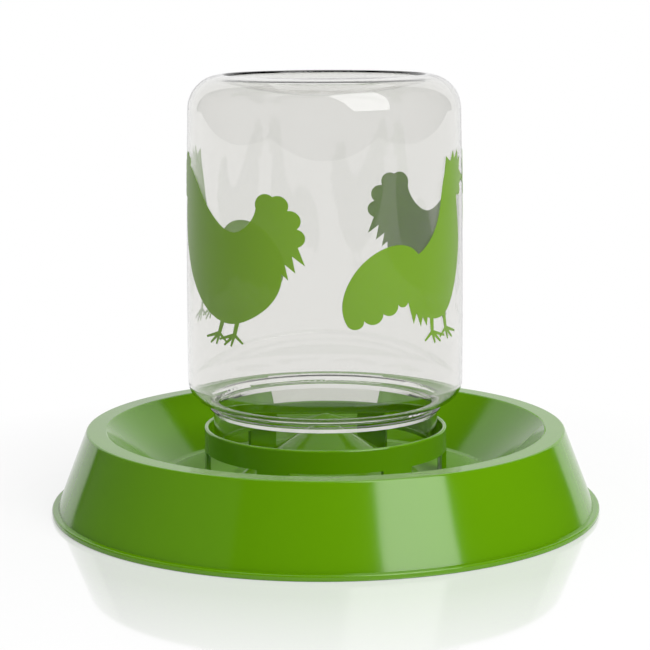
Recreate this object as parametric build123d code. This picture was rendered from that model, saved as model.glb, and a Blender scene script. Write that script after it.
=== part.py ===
from build123d import *
import os
from math import asin, degrees, radians, sin, sqrt, tan

# A poultry feeder. A round green pan stands on its wide foot, a screw ring on six legs is
# snapped into the pan's floor round a feed cone, and a clear jar screws into the ring mouth
# down. Feed runs out of the jar over the cone and through the gaps between the legs.
# Millimetres. The pan stands on z = 0, its axis is Z, and the front is towards -Y.
# Every angle round the axis is measured from the front, towards +X.

# Pan
rim_radius = 105.5
rim_height = 36.3
rim_land = 8.5
skirt_taper = 21.3
foot_radius = 121.3
flange_height = 2.6
floor_radius = 73.5
floor_height = 13.6
cone_radius = 41.5
cone_slope = 32.5
cone_tip_radius = 4.0
pan_wall = 2.2
rim_edge_radius = 1.1
floor_corner_radius = 3.0
cone_foot_radius = 1.5
flange_edge_radius = 0.8

# Screw ring, its legs and the snap tongues under them
ring_wall = 1.9
ring_top = 36.5
ring_edge_radius = 0.8
band_height = 10.1
lip_overlap = 1.3
lip_height = 1.6
leg_count = 6
leg_arc = 16.0
first_leg_angle = 35.0
tongue_arc = 9.0
tongue_drop = 2.4
barb_reach = 0.9
slot_clearance = 0.2

# Jar, mouth down
jar_length = 162.7
jar_radius = 60.5
jar_belly_radius = 60.3
jar_top_radius = 59.2
jar_corner_radius = 14.5
jar_wall = 1.1
neck_radius = 49.5
neck_wall = 1.9
neck_root_radius = 1.7
neck_length = 19.9
bead_drop = 2.6
bead_reach = 1.6
bead_width = 2.4
bead_land = 0.5
mouth_lip_radius = 0.6
seat_gap = 0.3
thread_gap = 0.7
base_ring_land = 1.2
base_ring_drop = 1.0
base_dome_depth = 6.6

# Printed figures on the jar, drawn on a sheet and wrapped round the wall
ink_thickness = 0.12
print_low_margin = 22.3
print_top_margin = 16.7
print_arc = 130.0
hen_angles = (-40.0, 128.0)
cockerel_angles = (40.0, 232.0)
leg_width = 2.6
ankle_width = 1.9
toe_width = 1.6
claw_width = 0.9

# Paper label on the back slope of the pan
label_arc = 34.0
label_angle = 180.0
label_margin = 1.0
label_width = 11.5
label_thickness = 0.2

# Heights and radii that follow from the sizes above
reach = 4 * pan_wall
ring_bore = neck_radius + bead_reach + thread_gap
ring_radius = ring_bore + ring_wall
lip_bore = neck_radius - lip_overlap
band_bottom = ring_top - band_height
mouth_height = band_bottom + lip_height + seat_gap
jar_height = mouth_height + jar_length
shoulder_height = mouth_height + neck_length
shoulder_radius = jar_radius - neck_radius - neck_root_radius
wall_low = shoulder_height + shoulder_radius
wall_high = jar_height - jar_corner_radius
corner_start = jar_top_radius - jar_corner_radius
base_ring_radius = corner_start - base_ring_land
print_low = wall_low + print_low_margin
print_scale = (wall_high - print_top_margin - print_low) / 80  # the sheet is 80 units high
under_floor = floor_height - pan_wall
slope_run = rim_radius - rim_land - floor_radius
slope_rise = rim_height - floor_height
slope_length = sqrt(slope_run**2 + slope_rise**2)


def skirt_radius(height):
    """Outer radius of the conical skirt at a height."""
    return rim_radius + (rim_height - height) * tan(radians(skirt_taper))


def turned(section):
    """Solid turned about Z from a section drawn as (radius, height)."""
    return revolve(Plane.XZ * section, axis=Axis.Z)


def turned_arc(section, arc, angle):
    """Part of a turn: the section swept over arc degrees, centred on an angle from the front."""
    wedge = revolve(Plane.XZ * section, axis=Axis.Z, revolution_arc=arc)
    return Rot(0, 0, angle - 90 - arc / 2) * wedge


def block(low_radius, high_radius, low, high):
    """Rectangle of a section, from its radii and heights."""
    middle = Pos((low_radius + high_radius) / 2, (low + high) / 2)
    return middle * Rectangle(high_radius - low_radius, high - low)


def corner(shape, x, y):
    """The vertex of a flat shape that lies nearest to a point."""
    return shape.vertices().sort_by_distance((x, y, 0))[0]


def right_half(section, low, high):
    """The part of a full section right of the axis and between two heights."""
    width = 2 * foot_radius
    return section & block(0, width, low, high)


# Pan: one thin wall that runs up the skirt, over the rim, down into the trough and up the cone

def pan_skin():
    """Full cross-section under the pan's upper surface, both sides of the axis."""
    cone_height = floor_height + cone_radius * tan(radians(cone_slope))
    right = [
        (skirt_radius(-reach), -reach),
        (rim_radius, rim_height),
        (rim_radius - rim_land, rim_height),
        (floor_radius, floor_height),
        (cone_radius, floor_height),
    ]
    left = [(-x, y) for x, y in reversed(right)]
    skin = make_face(Polyline(*right, (0, cone_height), *left, close=True))
    rounds = [
        (right[1], rim_edge_radius),
        (right[2], rim_edge_radius),
        (right[3], floor_corner_radius),
        (right[4], cone_foot_radius),
    ]
    for (x, y), radius in rounds:
        skin = fillet([corner(skin, x, y), corner(skin, -x, y)], radius)
    return fillet(corner(skin, 0, cone_height), cone_tip_radius)


def pan_section():
    skin = pan_skin()
    hollow = offset(skin, amount=-pan_wall, kind=Kind.INTERSECTION)
    wall = right_half(skin - hollow, 0, 2 * rim_height)
    flange = block(skirt_radius(0) - pan_wall / 2, foot_radius, 0, flange_height)
    section = wall + flange
    edges = [corner(section, foot_radius, flange_height), corner(section, foot_radius, 0)]
    return fillet(edges, flange_edge_radius)


def leg_angles():
    return [first_leg_angle + 360 / leg_count * i for i in range(leg_count)]


def pan():
    body = turned(pan_section())
    slot_section = block(
        ring_bore - slot_clearance,
        ring_radius + slot_clearance,
        under_floor - pan_wall,
        floor_height + pan_wall,
    )
    slot_arc = tongue_arc + 2 * degrees(slot_clearance / ring_radius)
    for angle in leg_angles():
        body -= turned_arc(slot_section, slot_arc, angle)
    return body


# Screw ring: a band with a seat lip inside, six legs below, and a barbed tongue under each leg

def ring_section():
    band = block(ring_bore, ring_radius, band_bottom, ring_top)
    lip = block(lip_bore, ring_radius, band_bottom, band_bottom + lip_height)
    section = band + lip
    edges = [corner(section, ring_bore, ring_top), corner(section, ring_radius, ring_top)]
    return fillet(edges, ring_edge_radius)


def tongue_section():
    """Tongue through the floor with a barb that catches under it."""
    catch = under_floor - slot_clearance
    bottom = catch - tongue_drop
    return make_face(Polyline(
        (ring_bore, floor_height),
        (ring_radius, floor_height),
        (ring_radius, catch),
        (ring_radius + barb_reach, catch),
        (ring_radius - ring_wall / 3, bottom),
        (ring_bore, bottom),
        close=True,
    ))


def screw_ring():
    ring = turned(ring_section())
    leg = block(ring_bore, ring_radius, floor_height, band_bottom + lip_height / 2)
    for angle in leg_angles():
        ring += turned_arc(leg, leg_arc, angle)
        ring += turned_arc(tongue_section(), tongue_arc, angle)
    return ring


# Jar: a thin blown wall on a thicker moulded neck

def jar_outline(inset=0.0):
    """Right half of the jar's outside without its neck bead, moved inwards by an inset."""
    root_radius = neck_root_radius + inset
    neck_side = neck_radius - inset
    shoulder_floor = shoulder_height + inset
    top = jar_height - inset
    ring_low = top - base_ring_drop
    dome_radius = (base_ring_radius**2 + base_dome_depth**2) / (2 * base_dome_depth)
    dome_arc = degrees(asin(base_ring_radius / dome_radius))
    dome_centre = ring_low - base_dome_depth + dome_radius
    mouth = Line((0, mouth_height), (neck_side, mouth_height))
    neck = Line(mouth @ 1, (neck_side, shoulder_floor - root_radius))
    neck_root = RadiusArc(neck @ 1, (neck_side + root_radius, shoulder_floor), root_radius)
    shoulder = RadiusArc(neck_root @ 1, (jar_radius - inset, wall_low), -(shoulder_radius - inset))
    belly = (jar_belly_radius - inset, (wall_low + wall_high) / 2)
    body = ThreePointArc(shoulder @ 1, belly, (jar_top_radius - inset, wall_high))
    top_corner = TangentArc(body @ 1, (corner_start, top), tangent=body % 1)
    base_ring = TangentArc(top_corner @ 1, (base_ring_radius, ring_low), tangent=top_corner % 1)
    dome = CenterArc((0, dome_centre), dome_radius, 270, dome_arc)
    axis = Line((0, mouth_height), dome @ 0)
    return make_face([mouth, neck, neck_root, shoulder, body, top_corner, base_ring, dome, axis])


def jar_bead():
    """Carrying bead round the neck, flat above and sloping back to the neck below."""
    high = shoulder_height - bead_drop
    low = high - bead_width
    crest = neck_radius + bead_reach
    inside = neck_radius - neck_wall / 2
    return make_face(Polyline(
        (inside, low),
        (neck_radius, low),
        (crest, high - bead_land),
        (crest, high),
        (inside, high),
        close=True,
    ))


def jar():
    open_inside = jar_outline(jar_wall) + block(0, neck_radius - jar_wall, 0, mouth_height + jar_wall)
    neck_top = shoulder_height - neck_root_radius
    neck_tube = block(neck_radius - neck_wall, neck_radius, mouth_height, neck_top)
    section = (jar_outline() - open_inside) + neck_tube + jar_bead()
    lip_edges = [
        corner(section, neck_radius, mouth_height),
        corner(section, neck_radius - neck_wall, mouth_height),
    ]
    return turned(fillet(lip_edges, mouth_lip_radius))


# Printed figures: outlines on a flat sheet, standing on the line y = 0, then wrapped as ink

def on_wall(x, y):
    """Where a point of the sheet is seen from straight in front, once the sheet is wrapped."""
    around = x * print_scale / jar_radius
    return (jar_radius * sin(around), y * print_scale)


def drawn(start, *runs):
    """Face inside a closed line. A run of one point is straight, of two an arc, of more a curve."""
    pieces = []
    last = on_wall(*start)
    for run in runs:
        points = [last] + [on_wall(*point) for point in run]
        if len(points) == 2:
            pieces.append(Line(*points))
        elif len(points) == 3:
            pieces.append(ThreePointArc(*points))
        else:
            pieces.append(Spline(*points))
        last = points[-1]
    return make_face(pieces)


def tapered(start, end, start_width, end_width):
    """Straight limb between two points of the sheet, narrowing from one width to the other."""
    run = Vector(*end) - Vector(*start)
    side = Vector(-run.Y, run.X) / run.length
    sides = [(start, start_width), (end, end_width), (end, -end_width), (start, -start_width)]
    corners = [
        on_wall(x + side.X * width / 2, y + side.Y * width / 2)
        for (x, y), width in sides
    ]
    return make_face(Polyline(*corners, close=True))


def leg_and_foot(knee, heel, facing):
    """One leg with three toes in front and one behind; facing is -1 to the left, 1 to the right."""
    figure = tapered(knee, heel, leg_width, ankle_width)
    figure += Pos(*on_wall(*heel)) * Circle(ankle_width * print_scale / 2)
    toes = [(9.0, -2.6), (6.0, -4.8), (2.0, -5.0), (-4.5, -3.4)]
    for ahead, drop in toes:
        tip = (heel[0] + facing * ahead, heel[1] + drop)
        figure += tapered(heel, tip, toe_width, claw_width)
    return figure


def hen_outline():
    """Hen that faces left, with a raised tail of rounded feathers over a few pointed ones."""
    points = [[(24, 32)], [(27, 29.5)], [(25.5, 36)], [(30, 32.5)], [(28.5, 39.5)], [(34, 35.5)], [(31, 43)]]
    tail = [
        [(34, 47), (30.5, 50.5)],
        [(31, 56.5), (26.5, 58)],
        [(25, 63.2), (20, 63.5)],
        [(15.5, 64.5), (12.5, 58.5)],
    ]
    back = [(9, 52), (1.5, 48), (-10, 53), (-19, 61), (-27, 69), (-34.5, 73.5)]
    comb = [[(-35.2, 76.8), (-38, 76.5)], [(-40.5, 78.8), (-43, 75.5)], [(-46.5, 74.2), (-45.5, 70)]]
    beak = [[(-52, 66.5)], [(-45, 64)]]
    wattle = [(-43.8, 59.5), (-40, 61)]
    breast = [(-41.5, 50), (-37, 36), (-27, 23), (-14, 13), (-1, 9.5), (11, 13), (20, 20), (24, 28)]
    figure = drawn((24, 28), *points, *tail, back, *comb, *beak, wattle, breast)
    figure += leg_and_foot((-4, 14), (-7.5, 5), -1)
    figure += leg_and_foot((4, 14), (1.5, 5), -1)
    return figure


def cockerel_outline():
    """Cockerel that faces right, with a high neck and a drooping tail of broad feathers."""
    breast = [(9, 10.5), (17, 11.5), (25, 19.5), (30.5, 31), (32.5, 44), (30.5, 55), (30, 62)]
    wattle = [(33.6, 60.8), (34.5, 65)]
    beak = [[(41, 68)], [(34, 71.5)]]
    comb = [
        [(36, 77)], [(32, 75.5)],
        [(32, 80)], [(28, 76.5)],
        [(26.5, 80)], [(23.5, 75.5)],
        [(19.5, 78)], [(18, 71)],
    ]
    back = [(15.5, 63), (12.5, 52), (7, 43.5), (0, 38.5)]
    tail_top = [(-6, 42.5), (-15, 42.5), (-26, 36.5), (-33, 27), (-35, 16), (-33, 10.5)]
    tail_tips = [
        [(-28.8, 9), (-26, 12.5)],
        [(-20.9, 10.8), (-17.5, 15)],
        [(-12.8, 14.3), (-10.5, 18.5)],
        [(-7.8, 17), (-5.5, 19)],
    ]
    fringe = [[(-2.5, 9.5)], [(-1, 14)], [(1.5, 8)], [(2.5, 12)], [(5, 8)], [(5.5, 11.5)]]
    figure = drawn((5.5, 11.5), breast, wattle, *beak, *comb, back, tail_top, *tail_tips, *fringe)
    figure += leg_and_foot((8, 14), (8.5, 5), 1)
    figure += leg_and_foot((16.5, 14), (18.5, 5.5), 1)
    return figure


def printed(outline, angles):
    """The outline's ink on the jar, cut once at the front and copied to each angle."""
    skin = jar_outline(-ink_thickness) - jar_outline()
    front = turned_arc(skin & block(neck_radius, foot_radius, wall_low, wall_high), print_arc, 0)
    upright = Plane(origin=(0, 0, print_low), x_dir=(1, 0, 0), z_dir=(0, -1, 0))
    stamp = extrude(upright * outline, amount=foot_radius)
    figure = (front & stamp).solids()[0]
    return Compound(children=[Rot(0, 0, angle) * figure for angle in angles])


# Paper label: a thin band of paper on the slope behind the jar

def slope_point(down, lift):
    """Point on the trough's slope, a length down from the rim and raised square to it."""
    radius = rim_radius - rim_land - down * slope_run / slope_length
    height = rim_height - down * slope_rise / slope_length
    return (radius - lift * slope_rise / slope_length, height + lift * slope_run / slope_length)


def paper_label():
    high = rim_edge_radius + label_margin
    low = high + label_width
    section = make_face(Polyline(
        slope_point(low, 0),
        slope_point(high, 0),
        slope_point(high, label_thickness),
        slope_point(low, label_thickness),
        close=True,
    ))
    return turned_arc(section, label_arc, label_angle)


nodes = {
    "pan": pan(),
    "screw_ring": screw_ring(),
    "jar": jar(),
    "hen_print": printed(hen_outline(), hen_angles),
    "cockerel_print": printed(cockerel_outline(), cockerel_angles),
    "paper_label": paper_label(),
}

os.makedirs("parts", exist_ok=True)
for name, shape in nodes.items():
    export_step(shape, f"parts/{name}.step")
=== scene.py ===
# %% [markdown]
# # A poultry feeder in glossy green and clear plastic
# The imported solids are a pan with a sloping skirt, a screw ring on legs, a clear jar that
# stands mouth down in the ring, the printed figures on the jar and a paper label. Their
# shapes are right already, so this lesson is mostly about finishes: a moulded plastic that
# mirrors its surroundings, a clear wall that bends light, thin translucent ink and paper.

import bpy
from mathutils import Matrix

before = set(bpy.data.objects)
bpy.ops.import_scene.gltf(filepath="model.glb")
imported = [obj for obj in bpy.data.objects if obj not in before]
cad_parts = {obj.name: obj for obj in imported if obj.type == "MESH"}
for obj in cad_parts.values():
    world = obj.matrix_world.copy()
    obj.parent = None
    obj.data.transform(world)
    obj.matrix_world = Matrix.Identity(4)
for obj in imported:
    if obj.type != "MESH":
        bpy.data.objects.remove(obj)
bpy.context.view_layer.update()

# %% Tools of the lesson
from math import cos, degrees, pi, radians, sin, tan

import bpy
from mathutils import Vector

scene = bpy.context.scene
scene.view_settings.view_transform = "Standard"
bpy.ops.object.select_all(action="DESELECT")


# %% [markdown]
# ## Writing a finish as a sentence
# A finish is a tree of nodes. Wiring every Math node by hand hides the idea, so a number
# that runs through the tree is wrapped in a small class whose + - * / add the Math nodes.
# Every other node comes from one method: its type, its settings, then its sockets.

# %% A number in the node tree
class Number:
    """A socket that carries a number through a node tree."""

    def __init__(self, graph, socket):
        self.graph = graph
        self.socket = socket

    def math(self, operation, first, second=0.0, clamp=False):
        settings = {"operation": operation, "use_clamp": clamp}
        return self.graph.add("ShaderNodeMath", settings, {0: first, 1: second}).number()

    def __add__(self, other):
        return self.math("ADD", self, other)

    def __sub__(self, other):
        return self.math("SUBTRACT", self, other)

    def __rsub__(self, other):
        return self.math("SUBTRACT", other, self)

    def __mul__(self, other):
        return self.math("MULTIPLY", self, other)

    def __truediv__(self, other):
        return self.math("DIVIDE", self, other)

    def __pow__(self, other):
        return self.math("POWER", self, other)

    __radd__ = __add__
    __rmul__ = __mul__

    def above(self, other):
        return self.math("GREATER_THAN", self, other)

    def below(self, other):
        return self.math("LESS_THAN", self, other)

    def size(self):
        return self.math("ABSOLUTE", self)

    def clipped(self):
        return self.math("ADD", self, 0.0, clamp=True)


# %% A node and a tree of nodes
class Step:
    """One node of a tree, with its outputs by name or place."""

    def __init__(self, graph, node):
        self.graph = graph
        self.node = node

    def out(self, name=0):
        return self.node.outputs[name]

    def number(self, name=0):
        return Number(self.graph, self.node.outputs[name])


class Graph:
    """A node tree that grows by one method."""

    def __init__(self, tree):
        self.tree = tree
        tree.nodes.clear()

    def add(self, kind, settings=None, sockets=None):
        node = self.tree.nodes.new(kind)
        for name, value in (settings or {}).items():
            setattr(node, name, value)
        for name, value in (sockets or {}).items():
            value = getattr(value, "socket", value)
            if isinstance(value, bpy.types.NodeSocket):
                self.tree.links.new(value, node.inputs[name])
            else:
                node.inputs[name].default_value = value
        return Step(self, node)

    def blend(self, amount, first, second):
        """Colour between two colours."""
        settings = {"data_type": "RGBA"}
        sockets = {"Factor": amount, 6: first, 7: second}
        return self.add("ShaderNodeMix", settings, sockets).out(2)

    def place(self, stretch=(1.0, 1.0, 1.0), turn=(0.0, 0.0, 0.0)):
        """Object coordinates in metres, stretched or turned for a pattern."""
        coordinates = self.add("ShaderNodeTexCoord").out("Object")
        sockets = {"Vector": coordinates, "Scale": stretch, "Rotation": turn}
        return self.add("ShaderNodeMapping", {}, sockets).out()

    def noise(self, scale, detail=2.0, rough=0.5, stretch=(1.0, 1.0, 1.0)):
        """Soft noise from 0 to 1, scale given in lumps to the metre."""
        sockets = {"Vector": self.place(stretch), "Scale": scale, "Detail": detail, "Roughness": rough}
        return self.add("ShaderNodeTexNoise", {}, sockets).number()

    def bump(self, height, strength, distance):
        sockets = {"Strength": strength, "Distance": distance, "Height": height}
        return self.add("ShaderNodeBump", {}, sockets).out()


def finish(name):
    """New material and the graph of its nodes."""
    material = bpy.data.materials.new(name)
    material.use_nodes = True
    return material, Graph(material.node_tree)


def surface(graph, shader):
    """Wires a shader to the material's surface."""
    graph.add("ShaderNodeOutputMaterial", {}, {"Surface": shader})


# %% [markdown]
# ## The set
# The photograph is a white sweep with a glossy table. White that comes from lamps would
# burn out the object, so floor and sweep are painted white only for the rays that see them:
# the camera's, and those that a mirror or the clear jar sends on. A part of the floor still
# takes light, which keeps the shadow, and a part mirrors the pan.

# %% Floor and sweep
floor_size = 8.0
sweep_distance = 2.4
sweep_width = 5.2
sweep_height = 5.0
floor_mirror = 0.30
floor_shade = 0.30
near_table = 0.14
far_table = 0.26


def seen_directly(graph):
    """1 for rays from the camera, a mirror or the clear plastic, and 0 for light rays."""
    path = graph.add("ShaderNodeLightPath")
    rays = path.number("Is Camera Ray") + path.number("Is Glossy Ray")
    return (rays + path.number("Is Transmission Ray")).clipped()


def nearness(graph):
    """1 on the table close to the pan, fading to 0 further out."""
    sockets = {0: graph.add("ShaderNodeTexCoord").out("Object")}
    distance = graph.add("ShaderNodeVectorMath", {"operation": "LENGTH"}, sockets).number("Value")
    return ((far_table - distance) / (far_table - near_table)).clipped()


def floor_material():
    material, graph = finish("white_table")
    near = nearness(graph)
    white = graph.add("ShaderNodeEmission", {}, {"Color": (1.0, 1.0, 1.0, 1.0), "Strength": 1.0})
    matt = graph.add("ShaderNodeBsdfDiffuse", {}, {"Color": (0.9, 0.9, 0.9, 1.0)})
    mirror = graph.add("ShaderNodeBsdfGlossy", {}, {"Color": (1.0, 1.0, 1.0, 1.0), "Roughness": 0.06})
    lit = graph.add("ShaderNodeMixShader", {}, {0: near * floor_shade, 1: white.out(), 2: matt.out()})
    table = graph.add("ShaderNodeMixShader", {}, {0: near * floor_mirror, 1: lit.out(), 2: mirror.out()})
    rays = seen_directly(graph)
    surface(graph, graph.add("ShaderNodeMixShader", {}, {0: rays, 1: matt.out(), 2: table.out()}).out())
    return material


def sweep_material():
    material, graph = finish("white_sweep")
    white = graph.add("ShaderNodeEmission", {}, {"Color": (1.0, 1.0, 1.0, 1.0), "Strength": 1.0})
    matt = graph.add("ShaderNodeBsdfDiffuse", {}, {"Color": (0.9, 0.9, 0.9, 1.0)})
    rays = seen_directly(graph)
    surface(graph, graph.add("ShaderNodeMixShader", {}, {0: rays, 1: matt.out(), 2: white.out()}).out())
    return material


bpy.ops.mesh.primitive_plane_add(size=floor_size, location=(0, 0, 0))
floor = bpy.context.object
floor.name = "table"
floor.data.materials.append(floor_material())

bpy.ops.mesh.primitive_plane_add(size=1, location=(0, 0, 0))
sweep = bpy.context.object
sweep.name = "sweep"
sweep.scale = (sweep_width, sweep_height, 1)
sweep.rotation_euler = (radians(90), 0, 0)
sweep.location = (0, sweep_distance, sweep_height / 2)
sweep.data.materials.append(sweep_material())

# %% World
world_fill = 0.32
world_gloss = 0.03


def studio_world():
    world = bpy.data.worlds.new("studio")
    world.use_nodes = True
    graph = Graph(world.node_tree)
    path = graph.add("ShaderNodeLightPath")
    fill = (world_fill, world_fill, world_fill, 1.0)
    dark = (world_gloss, world_gloss, world_gloss, 1.0)
    white = (1.0, 1.0, 1.0, 1.0)
    colour = graph.blend(path.number("Is Glossy Ray"), fill, dark)
    seen = (path.number("Is Camera Ray") + path.number("Is Transmission Ray")).clipped()
    colour = graph.blend(seen, colour, white)
    background = graph.add("ShaderNodeBackground", {}, {"Color": colour, "Strength": 1.0})
    graph.add("ShaderNodeOutputWorld", {}, {"Surface": background.out()})
    scene.world = world


studio_world()

# %% [markdown]
# ## Lamps
# A softbox is a lamp with an area: its size decides how wide its mirror image is on the
# skirt, its radiance how bright. Placing it by azimuth and elevation, as seen from the
# feeder, makes it easy to say which stripe on the skirt it will draw.

# %% Softboxes
def softbox(name, azimuth, elevation, distance, width, height, radiance, aim_height=0.08):
    """Area lamp aimed at the feeder; azimuth runs from the front towards +X, in degrees."""
    lamp = bpy.data.lights.new(name, "AREA")
    lamp.shape = "RECTANGLE"
    lamp.size = width
    lamp.size_y = height
    lamp.energy = radiance * pi * width * height
    item = bpy.data.objects.new(name, lamp)
    bpy.context.collection.objects.link(item)
    level = distance * cos(radians(elevation))
    aim = Vector((0, 0, aim_height))
    away = Vector((level * sin(radians(azimuth)), -level * cos(radians(azimuth)), distance * sin(radians(elevation))))
    item.location = aim + away
    item.rotation_euler = away.to_track_quat("Z", "Y").to_euler()
    item.visible_camera = False
    item.visible_transmission = False
    return item


softbox("key_softbox", azimuth=40, elevation=42, distance=1.4, width=0.83, height=1.4, radiance=5.1)
softbox("side_panel", azimuth=-85, elevation=15, distance=1.3, width=2.4, height=0.9, radiance=0.14)
softbox("top_softbox", azimuth=170, elevation=78, distance=1.6, width=1.2, height=1.0, radiance=1.6)

# %% [markdown]
# ## Camera
# A long lens from nearly table height: it looks a little down on the pan and straight at
# the jar. The lens is worked out from the focal length in picture widths.

# %% Camera
camera_place = (0.00053, -0.8690, 0.2247)
camera_down = 9.384
camera_roll = 0.228
focal_widths = 3.0744
sensor_width = 36.0

camera_data = bpy.data.cameras.new("camera")
camera_data.sensor_width = sensor_width
camera_data.lens = focal_widths * sensor_width
camera = bpy.data.objects.new("camera", camera_data)
bpy.context.collection.objects.link(camera)
camera.location = camera_place
camera.rotation_euler = (radians(90 - camera_down), radians(camera_roll), 0)
scene.camera = camera

# %% [markdown]
# ## Green moulded plastic
# The pan and the ring are polypropylene with the colour in the mass: one even green, a
# smooth glossy skin with a very slight ripple from the mould, and a finish that is a
# little less sharp in patches. Base colour, roughness and a bump carry all of it.

# %% Green plastic
pan_green = (0.117, 0.293, 0.0004, 1.0)
pan_green_deep = (0.095, 0.262, 0.0003, 1.0)


def green_plastic():
    material, graph = finish("green_plastic")
    flow = graph.noise(9.0, detail=3.0)
    patches = graph.noise(38.0, detail=2.0)
    ripple = graph.noise(60.0, detail=1.0)
    shader = graph.add("ShaderNodeBsdfPrincipled", {}, {
        "Base Color": graph.blend(flow, pan_green_deep, pan_green),
        "Roughness": 0.09 + patches * 0.06,
        "IOR": 1.49,
        "Normal": graph.bump(ripple, 0.12, 0.0004),
    })
    surface(graph, shader.out())
    return material


# %% [markdown]
# ## Clear plastic
# The jar's wall is real, with an inside and an outside face, so light bends at both and
# the thick neck and base darken by themselves. A hint of grey in the colour stands for the
# haze of a thick blown wall.

# %% Clear plastic
clear_tint = (0.858, 0.855, 0.838, 1.0)
longest_path = 8


def clear_plastic():
    material, graph = finish("clear_plastic")
    waves = graph.noise(16.0, detail=1.0, stretch=(1.0, 1.0, 0.35))
    shader = graph.add("ShaderNodeBsdfPrincipled", {}, {
        "Base Color": clear_tint,
        "Roughness": 0.0,
        "IOR": 1.5,
        "Transmission Weight": 1.0,
        "Normal": graph.bump(waves, 0.15, 0.001),
    })
    path = graph.add("ShaderNodeLightPath")
    lamps = path.number("Is Shadow Ray") + path.number("Is Diffuse Ray")
    trapped = path.number("Ray Depth").above(longest_path)
    open_way = graph.add("ShaderNodeBsdfTransparent", {}, {"Color": (0.97, 0.97, 0.96, 1.0)})
    sockets = {0: (lamps + trapped).clipped(), 1: shader.out(), 2: open_way.out()}
    surface(graph, graph.add("ShaderNodeMixShader", {}, sockets).out())
    return material


# %% [markdown]
# ## Ink and paper
# Screen ink is thin: it lets some light through, and its density is mottled. The label is
# coated paper; its red and blue bands and its words are left off, so it shows plain.

# %% Ink
ink_green = (0.150, 0.318, 0.0006, 1.0)
ink_green_thin = (0.175, 0.345, 0.003, 1.0)


def green_ink():
    material, graph = finish("green_ink")
    mottle = graph.noise(420.0, detail=3.0, rough=0.7)
    shader = graph.add("ShaderNodeBsdfPrincipled", {}, {
        "Base Color": graph.blend(mottle, ink_green, ink_green_thin),
        "Roughness": 0.35,
        "Alpha": 0.90 - mottle * 0.08,
    })
    surface(graph, shader.out())
    return material


# %% Paper
def label_paper():
    material, graph = finish("label_paper")
    shader = graph.add("ShaderNodeBsdfPrincipled", {}, {
        "Base Color": (0.86, 0.86, 0.85, 1.0),
        "Roughness": 0.4 + graph.noise(300.0) * 0.1,
    })
    surface(graph, shader.out())
    return material


# %% Finishes on the solids
def dress(node, material):
    """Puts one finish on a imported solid."""
    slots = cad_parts[node].material_slots
    for slot in slots:
        slot.material = material


green = green_plastic()
clear = clear_plastic()
ink = green_ink()
dress("pan", green)
dress("screw_ring", green)
dress("jar", clear)
dress("hen_print", ink)
dress("cockerel_print", ink)
dress("paper_label", label_paper())
for name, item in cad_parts.items():
    print(name, len(item.data.polygons), "faces")
